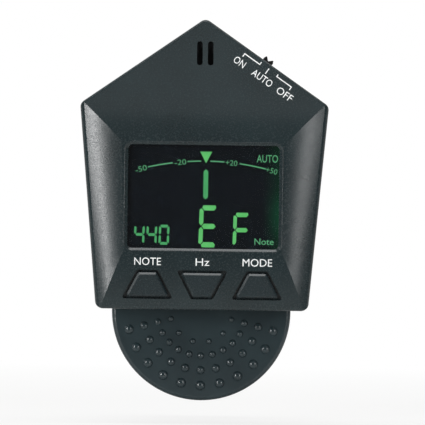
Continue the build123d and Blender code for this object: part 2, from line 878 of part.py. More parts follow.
def make_rear_lever():
    """A plate bent at the pin's height, cut to a finger disc below and the jaw above."""
    inner = jaw_back + jaw_pad_proud + pin_y
    outer = inner + lever_wall
    bend = up(pin_height)
    top = up(lever_top) + jaw_pad_sunk
    slope = radians(rear_finger_slope)
    length = rear_finger_length + 2 * lever_wall
    end_y = inner + length * sin(slope)
    end_z = bend - length * cos(slope)
    skin_y = lever_wall * cos(slope)
    skin_z = lever_wall * sin(slope)
    inside = [(inner, top), (inner, bend), (end_y, end_z)]
    outside = [(end_y + skin_y, end_z + skin_z), (outer, bend + lever_wall * tan(slope / 2)), (outer, top)]
    plate = side_block(make_face(Polyline(*inside, *outside, close=True)), -lever_neck, lever_neck)
    bends = plate.edges().filter_by(Axis.X).filter_by_position(Axis.Z, bend - past, bend + past)
    plate = fillet(bends, 2 * lever_wall)
    middle = rear_finger_length - rear_finger_radius
    disc_z = bend - middle * cos(slope)
    disc = Pos(0, disc_z) * Ellipse(rear_finger_radius, rear_finger_radius * cos(slope))
    stem = Pos(0, (disc_z + top) / 2) * Rectangle(rear_lever_neck, top - disc_z)
    blank = slab(disc + stem, inner - past, end_y + 2 * lever_wall)
    corners = blank.edges().filter_by(Axis.Y).filter_by_position(Axis.Z, top - 0.1, top + 0.1)
    blank = fillet(corners, lever_corner)
    upright = blank.edges().filter_by(Axis.Y)
    throat = upright.filter_by_position(Axis.Z, disc_z + lever_throat / 2, top - lever_throat)
    blank = fillet(throat, lever_throat)
    lever = plate & blank
    rim = [e for e in lever.edges() if abs(e.tangent_at(0.5).Y) < 0.9]
    rim = [e for e in rim if abs(e.tangent_at(0.5).X) < 0.99 or abs(e.center().Z - bend) > 2 * lever_wall]
    lever = fillet(rim, lever_round)
    for low, high in both_sides(rear_lug_half - lug_thick, rear_lug_half):
        lever += lug(inner + lever_wall / 2, low, high)
    lever -= jaw_pad_room(inner - past, inner + jaw_pad_sunk)
    lever -= pin_hole(pin_radius + running_gap)
    origin = (0, inner + middle * sin(slope) + skin_y, disc_z + skin_z)
    plane = Plane(origin=origin, x_dir=(-1, 0, 0), z_dir=(0, cos(slope), sin(slope)))
    return closed(lever + grip_studs(plane))


def make_rear_jaw_pad():
    face = jaw_back + pin_y
    pad = rounded(jaw_pad_width, jaw_pad_tall, jaw_pad_radius, 0, up(grip_height))
    return closed(slab(pad, face, face + jaw_pad_proud + jaw_pad_sunk))


def make_clip_pin():
    half = front_lug_half
    return side_block(Pos(pin_y, up(pin_height)) * Circle(pin_radius), -half, half)


def make_clip_spring():
    """A torsion spring: one leg down the front lever, one out to the rear lever."""
    plate_distance = (jaw_back + jaw_pad_proud) * cos(radians(rear_finger_slope))
    leg_distance = plate_distance - spring_wire / 2 - seat_gap
    reach = hypot(spring_radius, spring_leg)
    swing = degrees(acos(spring_radius / reach) - acos(leg_distance / reach))
    leg_angle = closing_angle + rear_finger_slope + swing
    turns = spring_turns + 0.5 - leg_angle / 360
    pitch = spring_wire + seat_gap
    path = Helix(pitch=pitch, height=pitch * turns, radius=spring_radius)
    section = Circle(spring_wire / 2)
    spring = sweep(Plane(origin=path @ 0, z_dir=path % 0) * section, path=path, is_frenet=True)
    for end, away in ((path @ 0, (path % 0) * -1), (path @ 1, path % 1)):
        spring += extrude(Plane(origin=end, z_dir=away) * section, amount=spring_leg)
    start = (pitch * turns / 2, pin_y, up(pin_height))
    return Plane(origin=start, x_dir=(0, -1, 0), z_dir=(-1, 0, 0)) * spring


# ---- write every piece

key_places = {"left": (-key_spacing, 1), "centre": (0.0, -1), "right": (key_spacing, 1)}

pieces = {
    "front_case": make_front_case(),
    "rear_case": make_rear_case(),
    "battery_door": make_battery_door(),
    "display_lens": make_display_lens(),
    "display_glass": make_display_glass(),
    "backlight": make_backlight(),
    "display_holder": make_display_holder(),
    "contact_strip": make_contact_strip(),
    "circuit_board": make_circuit_board(),
    "controller_chip": make_controller_chip(),
    "microphone": make_microphone(),
    "microphone_boot": make_microphone_boot(),
    "piezo_disc": make_piezo_disc(),
    "slide_switch": make_slide_switch(),
    "switch_knob": make_switch_knob(),
    "coin_cell": make_coin_cell(),
    "battery_holder": make_battery_holder(),
    "low_contact": make_low_contact(),
    "side_contact": make_side_contact(),
    "tilt_arm": make_tilt_arm(),
    "friction_washer": make_friction_washer(),
    "swivel_washer": make_swivel_washer(),
    "swivel_screw": make_swivel_screw(),
    "tilt_pin": make_tilt_pin(),
    "front_lever": make_front_lever(),
    "front_jaw_pad": make_front_jaw_pad(),
    "rear_lever": make_rear_lever(),
    "rear_jaw_pad": make_rear_jaw_pad(),
    "clip_pin": make_clip_pin(),
    "clip_spring": make_clip_spring(),
}
for name, (x, wide_end) in key_places.items():
    pieces[f"{name}_key"] = make_key(x, wide_end)
    pieces[f"{name}_key_switch"] = make_switch(x)
    pieces[f"{name}_plunger"] = make_plunger(x)
for number, (x, height) in enumerate(screw_places, 1):
    pieces[f"case_screw_{number}"] = make_case_screw(x, height)

os.makedirs("parts", exist_ok=True)
for name, shape in pieces.items():
    print(name, len(shape.solids()), round(shape.volume, 2), shape.is_valid)
    export_step(shape, "parts/" + name + ".step")
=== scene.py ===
import json
from math import asin, ceil, cos, pi, radians, sin, sqrt

import bmesh
import bpy
from mathutils import Matrix, Vector
from mathutils.bvhtree import BVHTree


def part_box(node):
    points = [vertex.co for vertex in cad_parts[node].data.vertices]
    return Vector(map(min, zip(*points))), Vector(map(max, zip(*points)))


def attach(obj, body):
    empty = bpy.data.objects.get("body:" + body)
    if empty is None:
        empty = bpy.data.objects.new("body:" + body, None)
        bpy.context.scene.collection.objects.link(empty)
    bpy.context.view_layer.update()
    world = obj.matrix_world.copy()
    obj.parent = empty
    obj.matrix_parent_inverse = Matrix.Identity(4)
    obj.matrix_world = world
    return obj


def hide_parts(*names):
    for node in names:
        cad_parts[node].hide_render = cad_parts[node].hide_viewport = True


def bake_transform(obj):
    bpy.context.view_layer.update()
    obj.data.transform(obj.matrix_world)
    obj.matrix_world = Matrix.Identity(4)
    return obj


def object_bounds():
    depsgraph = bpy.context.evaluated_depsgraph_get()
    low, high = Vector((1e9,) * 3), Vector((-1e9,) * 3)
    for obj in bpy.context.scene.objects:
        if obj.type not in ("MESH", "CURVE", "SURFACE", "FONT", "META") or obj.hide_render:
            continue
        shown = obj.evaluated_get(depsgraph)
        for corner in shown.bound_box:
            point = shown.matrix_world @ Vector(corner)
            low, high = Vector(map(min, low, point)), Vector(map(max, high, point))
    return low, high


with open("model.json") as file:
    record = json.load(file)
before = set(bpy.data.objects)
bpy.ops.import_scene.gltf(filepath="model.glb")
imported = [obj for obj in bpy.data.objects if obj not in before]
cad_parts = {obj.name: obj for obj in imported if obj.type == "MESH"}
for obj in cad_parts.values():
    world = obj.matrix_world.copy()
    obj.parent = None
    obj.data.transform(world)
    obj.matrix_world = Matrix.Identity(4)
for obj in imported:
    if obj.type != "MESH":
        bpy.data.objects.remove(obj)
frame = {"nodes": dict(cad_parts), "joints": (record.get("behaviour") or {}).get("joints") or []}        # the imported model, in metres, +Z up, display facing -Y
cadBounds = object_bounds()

mm = 0.001
scene = bpy.context.scene
nodes = frame["nodes"]
print("frame loaded:", len(nodes), "CAD pieces")


def toLinear(hexColour):
    levels = [int(hexColour[i:i + 2], 16) / 255 for i in (1, 3, 5)]
    return [v / 12.92 if v <= 0.04045 else ((v + 0.055) / 1.055) ** 2.4 for v in levels] + [1.0]


def addNode(tree, kind, settings=None, links=None):
    node = tree.nodes.new(kind)
    for key, value in (settings or {}).items():
        if isinstance(key, int) or key in node.inputs:
            node.inputs[key].default_value = value
        else:
            setattr(node, key, value)
    for key, source in (links or {}).items():
        tree.links.new(source, node.inputs[key])
    return node


def newMaterial(name, shaderSettings=None):
    material = bpy.data.materials.new(name)
    material.use_nodes = True
    tree = material.node_tree
    tree.nodes.clear()
    shader = addNode(tree, "ShaderNodeBsdfPrincipled", shaderSettings)
    output = addNode(tree, "ShaderNodeOutputMaterial", None, {"Surface": shader.outputs["BSDF"]})
    return material, tree, shader, output


def finish(material, piece):
    # every slot of a piece takes the one finish
    if piece.data.materials:
        for index in range(len(piece.data.materials)):
            piece.data.materials[index] = material
    else:
        piece.data.materials.append(material)


def textured(name, look):
    # colour that drifts a little, a grain in the gloss and a matching bump
    material, tree, shader, output = newMaterial(name, look.get("shader"))
    place = addNode(tree, "ShaderNodeTexCoord").outputs["Object"]
    stretch = addNode(tree, "ShaderNodeMapping", {"Scale": look.get("stretch", (1, 1, 1))},
                      {"Vector": place})
    grain = addNode(tree, "ShaderNodeTexNoise",
                    {"Scale": 1 / (look["grain"] * mm), "Detail": 2.0, "Roughness": 0.55},
                    {"Vector": stretch.outputs["Vector"]})
    drift = addNode(tree, "ShaderNodeTexNoise",
                    {"Scale": 1 / (look["drift"] * mm), "Detail": 3.0, "Roughness": 0.5},
                    {"Vector": place})
    blend = addNode(tree, "ShaderNodeMapRange",
                    {"From Min": 0.3, "From Max": 0.7, "To Min": 0.0, "To Max": 1.0},
                    {"Value": drift.outputs["Fac"]})
    colour = addNode(tree, "ShaderNodeMix",
                     {"data_type": "RGBA", 6: toLinear(look["dark"]), 7: toLinear(look["light"])},
                     {0: blend.outputs["Result"]})
    gloss = addNode(tree, "ShaderNodeMapRange",
                    {"From Min": 0.3, "From Max": 0.7,
                     "To Min": look["roughness"][0], "To Max": look["roughness"][1]},
                    {"Value": grain.outputs["Fac"]})
    bump = addNode(tree, "ShaderNodeBump",
                   {"Strength": look.get("bump", 0.2), "Distance": look["depth"] * mm},
                   {"Height": grain.outputs["Fac"]})
    if "edge" in look:
        # moulded edges are never quite sharp and catch a thin line of light
        worn = addNode(tree, "ShaderNodeBevel", {"samples": 4, "Radius": look["edge"] * mm})
        tree.links.new(worn.outputs["Normal"], bump.inputs["Normal"])
    tree.links.new(colour.outputs[2], shader.inputs["Base Color"])
    tree.links.new(gloss.outputs["Result"], shader.inputs["Roughness"])
    tree.links.new(bump.outputs["Normal"], shader.inputs["Normal"])
    return material


# each finish is named for what it is and how its surface was made

# ABS moulded in a spark-eroded tool: satin charcoal with a fine even grain, drawn a little
# coarser than the real 0.1 mm so that it shows
caseLook = {"dark": "#152326", "light": "#1b2a2d", "grain": 0.30, "drift": 9.0, "depth": 0.010,
            "bump": 0.28, "roughness": (0.22, 0.30), "edge": 0.08, "shader": {"IOR": 1.54}}
caseAbs = textured("abs_moulded_charcoal", caseLook)

# the clip's levers, the same ABS from a smoother tool: glossier, and a little paler, which is painted
# light for the light the pad catches
leverLookPaintedLight = {**caseLook, "dark": "#232f33", "light": "#2b393d", "bump": 0.2,
             "roughness": (0.17, 0.24)}
leverAbsPaintedLight = textured("abs_moulded_levers_painted_light", leverLookPaintedLight)

# the dots on the levers are polished by fingers; they keep the levers' paler colour with its painted
# light
dotLook = {**leverLookPaintedLight, "bump": 0.1, "roughness": (0.12, 0.18)}
dotAbs = textured("abs_moulded_polished_by_use", dotLook)

# the same ABS from a finer tool: smoother keys
keyLook = {"dark": "#132024", "light": "#18272b", "grain": 0.25, "drift": 6.0, "depth": 0.008,
           "bump": 0.25, "roughness": (0.22, 0.30), "edge": 0.12, "shader": {"IOR": 1.54}}
keyAbs = textured("abs_moulded_keys", keyLook)

# ABS coloured black, for the slide knob: a little duller
knobLook = {**keyLook, "dark": "#08090a", "light": "#0c0d0e", "roughness": (0.28, 0.38),
            "shader": {"IOR": 1.47}}
knobAbs = textured("abs_moulded_black", knobLook)

# ABS without pigment, for the frames inside: soft white, slightly waxy
whiteLook = {"dark": "#d9d8d2", "light": "#e4e3de", "grain": 0.4, "drift": 5.0, "depth": 0.01,
             "roughness": (0.4, 0.5), "shader": {"IOR": 1.54}}
whiteAbs = textured("abs_moulded_white", whiteLook)

# silicone rubber, moulded: dull black with a dusty sheen
rubberLook = {"dark": "#15171a", "light": "#1e2023", "grain": 0.3, "drift": 4.0, "depth": 0.03,
              "bump": 0.4, "roughness": (0.7, 0.85),
              "shader": {"IOR": 1.42, "Sheen Weight": 0.15, "Sheen Roughness": 0.5}}
rubber = textured("silicone_rubber_moulded", rubberLook)

# nickel-plated steel, drawn and ground: bright with fine turning lines
steelLook = {"dark": "#a7a9ab", "light": "#b9bbbd", "grain": 0.12, "drift": 2.0, "depth": 0.004,
             "stretch": (0.15, 1, 1), "roughness": (0.2, 0.32), "shader": {"Metallic": 1.0}}
steel = textured("steel_nickel_plated", steelLook)

# spring steel, drawn: a little darker, lines run round the wire
springLook = {**steelLook, "dark": "#8f9294", "light": "#a3a6a8", "roughness": (0.24, 0.36)}
springSteel = textured("spring_steel_drawn", springLook)

# brass, rolled and stamped
brassLook = {"dark": "#b08d4c", "light": "#c6a35d", "grain": 0.15, "drift": 3.0, "depth": 0.004,
             "stretch": (1, 1, 0.2), "roughness": (0.25, 0.38), "shader": {"Metallic": 1.0}}
brass = textured("brass_stamped", brassLook)

# glass-epoxy board under green solder mask: glossy, with the weave just showing
boardLook = {"dark": "#0e4a2c", "light": "#136038", "grain": 0.5, "drift": 5.0, "depth": 0.01,
             "roughness": (0.25, 0.4), "shader": {"IOR": 1.5, "Coat Weight": 0.3}}
board = textured("fibreglass_solder_mask", boardLook)

# epoxy resin, dripped over the chip: glossy black
resinLook = {"dark": "#08090a", "light": "#101113", "grain": 0.6, "drift": 3.0, "depth": 0.01,
             "roughness": (0.12, 0.22), "shader": {"IOR": 1.55}}
resin = textured("epoxy_resin_black", resinLook)

# vulcanised fibre washer, punched from sheet: grey-red and matt
fibreLook = {"dark": "#5a3a34", "light": "#6b463d", "grain": 0.2, "drift": 2.0, "depth": 0.02,
             "stretch": (1, 1, 0.3), "roughness": (0.6, 0.75), "shader": {"IOR": 1.5}}
fibre = textured("vulcanised_fibre", fibreLook)

# ceramic of the pickup disc, fired with a silver film
ceramicLook = {"dark": "#c9c4b4", "light": "#dcd8ca", "grain": 0.3, "drift": 2.0, "depth": 0.01,
               "roughness": (0.35, 0.5), "shader": {"IOR": 1.6}}
ceramic = textured("ceramic_fired", ceramicLook)


def clearAcrylic():
    # PMMA, cast and polished: clear, with faint rub marks in the gloss
    look = {"roughness": (0.02, 0.06), "grain": 3.0}
    material, tree, shader, output = newMaterial(
        "pmma_cast_polished",
        {"Base Color": toLinear("#f4f8f6"), "IOR": 1.49, "Transmission Weight": 1.0})
    place = addNode(tree, "ShaderNodeTexCoord").outputs["Object"]
    marks = addNode(tree, "ShaderNodeTexNoise", {"Scale": 1 / (look["grain"] * mm), "Detail": 4.0},
                    {"Vector": place})
    gloss = addNode(tree, "ShaderNodeMapRange",
                    {"To Min": look["roughness"][0], "To Max": look["roughness"][1]},
                    {"Value": marks.outputs["Fac"]})
    tree.links.new(gloss.outputs["Result"], shader.inputs["Roughness"])
    # light passes straight through to what is behind, so that the window casts no hard shadow
    seeThrough = addNode(tree, "ShaderNodeBsdfTransparent")
    path = addNode(tree, "ShaderNodeLightPath")
    mix = addNode(tree, "ShaderNodeMixShader", None,
                  {0: path.outputs["Is Shadow Ray"], 1: shader.outputs["BSDF"],
                   2: seeThrough.outputs["BSDF"]})
    tree.links.new(mix.outputs["Shader"], output.inputs["Surface"])
    return material


def liquidCrystal():
    # a negative liquid crystal cell: nearly black glass, green backlight leaking at its right edge
    look = {"dark": "#080b11", "light": "#0d1218", "cloud": 7.0, "glow": "#12a868", "glowWidth": 4.2,
            "glowFade": 1.7, "glowStrength": 0.055, "glowBelow": 3.6, "glowReach": 6.5, "glowPeak": 2.8}
    material, tree, shader, output = newMaterial(
        "display_glass_negative", {"IOR": 1.52, "Roughness": 0.12, "Specular IOR Level": 0.15,
                                   "Emission Color": toLinear(look["glow"])})
    windowLow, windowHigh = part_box("display_lens")
    right, brightest = windowHigh.x, (windowLow.z + windowHigh.z) / 2 - look["glowBelow"] * mm
    place = addNode(tree, "ShaderNodeTexCoord").outputs["Object"]
    cloud = addNode(tree, "ShaderNodeTexNoise", {"Scale": 1 / (look["cloud"] * mm), "Detail": 2.0},
                    {"Vector": place})
    colour = addNode(tree, "ShaderNodeMix",
                     {"data_type": "RGBA", 6: toLinear(look["dark"]), 7: toLinear(look["light"])},
                     {0: cloud.outputs["Fac"]})
    across = addNode(tree, "ShaderNodeSeparateXYZ", None, {0: place})
    edge = addNode(tree, "ShaderNodeMapRange",
                   {"From Min": right - look["glowWidth"] * mm, "From Max": right,
                    "To Min": 0.0, "To Max": 1.0}, {"Value": across.outputs["X"]})
    fade = addNode(tree, "ShaderNodeMath", {"operation": "POWER", 1: look["glowFade"]},
                   {0: edge.outputs["Result"]})
    # brightest beside the light guide's lamp, a little below the middle
    above = addNode(tree, "ShaderNodeMath", {"operation": "SUBTRACT", 1: brightest},
                    {0: across.outputs["Z"]})
    away = addNode(tree, "ShaderNodeMath", {"operation": "ABSOLUTE"}, {0: above.outputs["Value"]})
    level = addNode(tree, "ShaderNodeMapRange",
                    {"interpolation_type": "SMOOTHSTEP",
                     "From Min": 0.0, "From Max": look["glowReach"] * mm,
                     "To Min": look["glowPeak"] * look["glowStrength"], "To Max": look["glowStrength"]},
                    {"Value": away.outputs["Value"]})
    glow = addNode(tree, "ShaderNodeMath", {"operation": "MULTIPLY"},
                   {0: fade.outputs["Value"], 1: level.outputs["Result"]})
    tree.links.new(colour.outputs[2], shader.inputs["Base Color"])
    tree.links.new(glow.outputs["Value"], shader.inputs["Emission Strength"])
    return material


def lit(name, look):
    # light through the open segments of the cell: even, with a slight unevenness of the light guide
    material, tree, shader, output = newMaterial(
        name, {"Base Color": toLinear("#0c2414"), "Roughness": 0.5, "Specular IOR Level": 0.1})
    place = addNode(tree, "ShaderNodeTexCoord").outputs["Object"]
    cloud = addNode(tree, "ShaderNodeTexNoise", {"Scale": 1 / (look["cloud"] * mm), "Detail": 1.0},
                    {"Vector": place})
    colour = addNode(tree, "ShaderNodeMix",
                     {"data_type": "RGBA", 6: toLinear(look["dark"]), 7: toLinear(look["light"])},
                     {0: cloud.outputs["Fac"]})
    tree.links.new(colour.outputs[2], shader.inputs["Emission Color"])
    shader.inputs["Emission Strength"].default_value = look["strength"]
    return material


# screen-printed ink: white, matt, slightly uneven
inkLook = {"dark": "#f0f2f2", "light": "#fcfdfd", "grain": 0.2, "drift": 1.5, "depth": 0.004,
           "roughness": (0.45, 0.6), "shader": {"IOR": 1.5}}
ink = textured("ink_screen_printed", inkLook)
acrylic = clearAcrylic()
crystal = liquidCrystal()
brightLook = {"dark": "#50b25b", "light": "#6bcd75", "cloud": 2.5, "strength": 1.0}
brightLight = lit("segment_light_bright", brightLook)
dimLight = lit("segment_light_soft", {**brightLook, "dark": "#3f9a5b", "light": "#50ae6b"})
fineLight = lit("segment_light_fine", {**brightLook, "dark": "#4c9667", "light": "#5fae7b"})

# frosted acrylic of the light guide, moulded: pale green from the lamp in its edge
guideLook = {**whiteLook, "dark": "#bfe3c8", "light": "#d6efdc"}
lightGuide = textured("acrylic_light_guide", guideLook)

slotFinish = {
    "case_plastic": caseAbs, "key_plastic": keyAbs, "clear_lens": acrylic, "display_glass": crystal,
    "light_guide": lightGuide, "white_plastic": whiteAbs, "board_green": board, "black_resin": resin,
    "rubber": rubber, "steel": steel, "brass": brass, "fibre": fibre,
}
special = {
    "front_lever": leverAbsPaintedLight, "rear_lever": leverAbsPaintedLight, "switch_knob": knobAbs,
    "clip_spring": springSteel, "piezo_disc": ceramic, "microphone": rubber,
}
for name, piece in nodes.items():
    finish(special.get(name) or slotFinish[piece.data.materials[0].name], piece)
print("finishes on every CAD piece")

# the camera looks level, from a touch to the left of the front, and leans a little
view = {"distance": 1200 * mm, "frameWidth": 85.9 * mm, "sensor": 36.0, "azimuth": -0.5, "roll": 0.82,
        "aimX": 1.88 * mm, "belowTop": 39.08 * mm}
caseLow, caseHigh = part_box("front_case")
aim = Vector((view["aimX"], caseLow.y, caseHigh.z - view["belowTop"]))
cameraData = bpy.data.cameras.new("camera")
cameraData.sensor_width = view["sensor"]
cameraData.lens = view["sensor"] * view["distance"] / view["frameWidth"]
cameraData.clip_start = 0.01
cameraData.clip_end = 20.0
camera = bpy.data.objects.new("camera", cameraData)
scene.collection.objects.link(camera)
side, lean = radians(view["azimuth"]), radians(view["roll"])
toCamera = Vector((sin(side), -cos(side), 0))
level = Vector((cos(side), sin(side), 0))
right = level * cos(lean) + Vector((0, 0, sin(lean)))
upward = Vector((0, 0, cos(lean))) - level * sin(lean)
turn = Matrix((right, upward, toCamera)).transposed().to_4x4()
camera.matrix_world = Matrix.Translation(aim + toCamera * view["distance"]) @ turn
scene.camera = camera

# the studio: white surroundings, a pale floor and soft lamps
studio = {
    "plainLevel": 0.25, "frontLevel": 0.06, "backLevel": 0.7,
    "frontReach": (-0.98, -0.75), "backReach": (-0.1, 0.6), "backdropReach": (0.8, 0.97),
    "floorDrop": 4.5 * mm, "floorSize": 3.0, "floorWhite": 0.8, "shadowReach": 0.45,
    "floorFront": (-0.06, -0.25), "lampDistance": 1.0,
}

# each lamp's azimuth (0 is the camera's side, positive to the right) and elevation in degrees,
# its width and height in metres, and its power in watts
lamps = {
    "key_left": (-27, 5, 0.09, 0.36, 4.2),      # narrow: the left facet's highlight
    "fill_right": (24, 5, 0.14, 0.36, 1.6),     # the right facet's weaker one
    "high_front": (0, 29, 1.2, 0.22, 0.5),      # a soft fall of light down the roof
    "side_left": (-88, 28, 0.5, 0.5, 1.4),      # the left edges of keys and knob
    "top": (0, 79, 0.8, 0.35, 3.5),             # the window's lower bevel
}


def makeWorld():
    world = bpy.data.worlds.new("studio")
    scene.world = world
    world.use_nodes = True
    tree = world.node_tree
    tree.nodes.clear()
    path = addNode(tree, "ShaderNodeLightPath")
    direction = addNode(tree, "ShaderNodeTexCoord").outputs["Generated"]
    across = addNode(tree, "ShaderNodeSeparateXYZ", None, {0: direction})
    # the room is dark at the front end, plain to the sides and brighter towards the backdrop
    near, far = studio["frontReach"]
    front = addNode(tree, "ShaderNodeMapRange",
                    {"From Min": near, "From Max": far,
                     "To Min": studio["frontLevel"], "To Max": studio["plainLevel"]},
                    {"Value": across.outputs["Y"]})
    near, far = studio["backReach"]
    room = addNode(tree, "ShaderNodeMapRange",
                   {"From Min": near, "From Max": far, "To Max": studio["backLevel"]},
                   {"Value": across.outputs["Y"], "To Min": front.outputs["Result"]})
    # gloss and glass meet the same white backdrop as the camera
    near, far = studio["backdropReach"]
    behind = addNode(tree, "ShaderNodeMapRange",
                     {"From Min": near, "From Max": far, "To Min": 0.0, "To Max": 1.0},
                     {"Value": across.outputs["Y"]})
    shiny = addNode(tree, "ShaderNodeMath", {"operation": "MAXIMUM"},
                    {0: path.outputs["Is Glossy Ray"], 1: path.outputs["Is Transmission Ray"]})
    shinyBehind = addNode(tree, "ShaderNodeMath", {"operation": "MULTIPLY"},
                          {0: shiny.outputs["Value"], 1: behind.outputs["Result"]})
    white = addNode(tree, "ShaderNodeMath", {"operation": "MAXIMUM"},
                    {0: path.outputs["Is Camera Ray"], 1: shinyBehind.outputs["Value"]})
    level = addNode(tree, "ShaderNodeMix", {"data_type": "FLOAT", 3: 1.0},
                    {0: white.outputs["Value"], 2: room.outputs["Result"]})
    background = addNode(tree, "ShaderNodeBackground", {"Color": (1, 1, 1, 1)},
                         {"Strength": level.outputs[0]})
    addNode(tree, "ShaderNodeOutputWorld", None, {"Surface": background.outputs["Background"]})


def makeFloor():
    # it lies just below the reach of the open battery door
    size = studio["floorSize"]
    mesh = bpy.data.meshes.new("floor")
    level = cadBounds[0][2] - studio["floorDrop"]
    corners = [(x * size, y * size, level) for x, y in ((-1, -1), (1, -1), (1, 1), (-1, 1))]
    mesh.from_pydata(corners, [], [(0, 1, 2, 3)])
    floor = bpy.data.objects.new("floor", mesh)
    scene.collection.objects.link(floor)
    material, tree, shader, output = newMaterial(
        "floor_paper_white", {"Base Color": toLinear("#f4f4f2"), "Roughness": 0.9})
    path = addNode(tree, "ShaderNodeLightPath")
    place = addNode(tree, "ShaderNodeTexCoord").outputs["Object"]
    # white to the camera, but near the object the paper's own shade and shadow show through
    away = addNode(tree, "ShaderNodeVectorMath", {"operation": "LENGTH"}, {0: place})
    whiteness = addNode(tree, "ShaderNodeMapRange",
                        {"From Min": studio["shadowReach"] / 3, "From Max": studio["shadowReach"],
                         "To Min": studio["floorWhite"], "To Max": 1.0},
                        {"Value": away.outputs["Value"]})
    share = addNode(tree, "ShaderNodeMath", {"operation": "MULTIPLY"},
                    {0: path.outputs["Is Camera Ray"], 1: whiteness.outputs["Result"]})
    glow = addNode(tree, "ShaderNodeEmission", {"Color": (1, 1, 1, 1), "Strength": 1.0})
    mix = addNode(tree, "ShaderNodeMixShader", None,
                  {0: share.outputs["Value"], 1: shader.outputs["BSDF"], 2: glow.outputs["Emission"]})
    # gloss turned to the camera's side meets the dark end of the room there
    across = addNode(tree, "ShaderNodeSeparateXYZ", None, {0: place})
    near, far = studio["floorFront"]
    frontward = addNode(tree, "ShaderNodeMapRange",
                        {"From Min": near, "From Max": far, "To Min": 0.0, "To Max": 1.0},
                        {"Value": across.outputs["Y"]})
    dim = addNode(tree, "ShaderNodeMath", {"operation": "MULTIPLY"},
                  {0: path.outputs["Is Glossy Ray"], 1: frontward.outputs["Result"]})
    shade = addNode(tree, "ShaderNodeEmission",
                    {"Color": (1, 1, 1, 1), "Strength": studio["frontLevel"]})
    dark = addNode(tree, "ShaderNodeMixShader", None,
                   {0: dim.outputs["Value"], 1: mix.outputs["Shader"], 2: shade.outputs["Emission"]})
    tree.links.new(dark.outputs["Shader"], output.inputs["Surface"])
    mesh.materials.append(material)


def softLamp(name, azimuth, elevation, width, height, power):
    # an area lamp aimed where the camera is aimed
    data = bpy.data.lights.new(name, "AREA")
    data.shape = "RECTANGLE"
    data.size = width
    data.size_y = height
    data.energy = power
    lamp = bpy.data.objects.new(name, data)
    scene.collection.objects.link(lamp)
    a, e = radians(azimuth), radians(elevation)
    away = Vector((sin(a) * cos(e), -cos(a) * cos(e), sin(e)))
    lamp.location = aim + away * studio["lampDistance"]
    lamp.rotation_euler = away.to_track_quat("Z", "Y").to_euler()


scene.view_settings.view_transform = "Standard"
makeWorld()
makeFloor()
for name, settings in lamps.items():
    softLamp(name, *settings)
print("camera and studio")

surfaces = {}    # search trees of the CAD pieces, made when first asked for


def surfaceHit(node, x, z, fromBehind=False):
    # where a line along Y meets a CAD piece, and the surface's direction there
    if node not in surfaces:
        mesh = nodes[node].data
        corners = [v.co for v in mesh.vertices]
        surfaces[node] = BVHTree.FromPolygons(corners, [p.vertices for p in mesh.polygons])
    side = 1 if fromBehind else -1
    clear = 200 * mm    # starts well outside the object
    start = Vector((x, side * clear, z))
    point, normal, *rest = surfaces[node].ray_cast(start, Vector((0, -side, 0)))
    return point, normal


def addPiece(name, bm, body, material, smooth=None):
    mesh = bpy.data.meshes.new(name)
    bmesh.ops.recalc_face_normals(bm, faces=bm.faces)
    bm.to_mesh(mesh)
    bm.free()
    piece = bpy.data.objects.new(name, mesh)
    scene.collection.objects.link(piece)
    mesh.materials.append(material)
    if smooth:
        mesh.shade_smooth()
        mesh.set_sharp_from_angle(angle=radians(smooth))
    if body:
        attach(piece, body)
    return piece


def circle(count):
    return [(cos(2 * pi * i / count), sin(2 * pi * i / count)) for i in range(count)]


def addSkin(bm, rings, closed=False):
    # faces between neighbouring rings of equally many corners
    for here, there in zip(rings, rings[1:] + rings[:1] if closed else rings[1:]):
        for i in range(len(here)):
            j = (i + 1) % len(here)
            bm.faces.new((here[i], here[j], there[j], there[i]))


capShare = 0.729    # the height of the built-in face's capitals at size 1


def addWord(flat, words, height, width, place, turn=0.0, weight=0.0):
    # a word in a plain sans face, its capitals as tall as height, centred on place, in x and z
    curve = bpy.data.curves.new("word", "FONT")
    curve.body = words
    curve.offset = weight
    curve.resolution_u = 3
    holder = bpy.data.objects.new("word", curve)
    scene.collection.objects.link(holder)
    shape = bpy.data.meshes.new_from_object(holder.evaluated_get(bpy.context.evaluated_depsgraph_get()))
    across = [v.co.x for v in shape.vertices]
    tall = capShare + weight
    middle = Vector(((min(across) + max(across)) / 2, tall / 2))
    stretch = width / (max(across) - min(across))
    grow = height / tall
    c, s = cos(turn), sin(turn)
    for vertex in shape.vertices:
        x = (vertex.co.x - middle.x) * stretch
        z = (vertex.co.y - middle.y) * grow
        vertex.co = (place[0] + x * c - z * s, place[1] + x * s + z * c, 0)
    flat.from_mesh(shape)
    bpy.data.meshes.remove(shape)
    bpy.data.objects.remove(holder)
    bpy.data.curves.remove(curve)


def addShape(flat, corners):
    flat.faces.new([flat.verts.new((x, z, 0)) for x, z in corners])


def addStroke(flat, points, width):
    # a flat line with mitred corners
    points = [Vector(p) for p in points]
    runs = [(b - a).normalized() for a, b in zip(points, points[1:])]
    sides = []
    for index, point in enumerate(points):
        before = runs[max(index - 1, 0)]
        after = runs[min(index, len(runs) - 1)]
        across = (before + after).normalized().orthogonal()
        reach = width / 2 / max(across.dot(after.orthogonal()), 0.3)    # a sharp mitre stops short
        sides.append((point + across * reach, point - across * reach))
    for (a, b), (c, d) in zip(sides, sides[1:]):
        addShape(flat, (a, c, d, b))


def layFlat(flat, surface, proud, sunk):
    # turns flat shapes in x and z into thin solids on a surface given by its Y at a place
    made = bmesh.ops.extrude_face_region(flat, geom=flat.faces[:])
    top = {v for v in made["geom"] if isinstance(v, bmesh.types.BMVert)}
    for vertex in flat.verts:
        x, z = vertex.co.x, vertex.co.y
        vertex.co = (x, surface(x, z) + (-proud if vertex in top else sunk), z)
    return flat


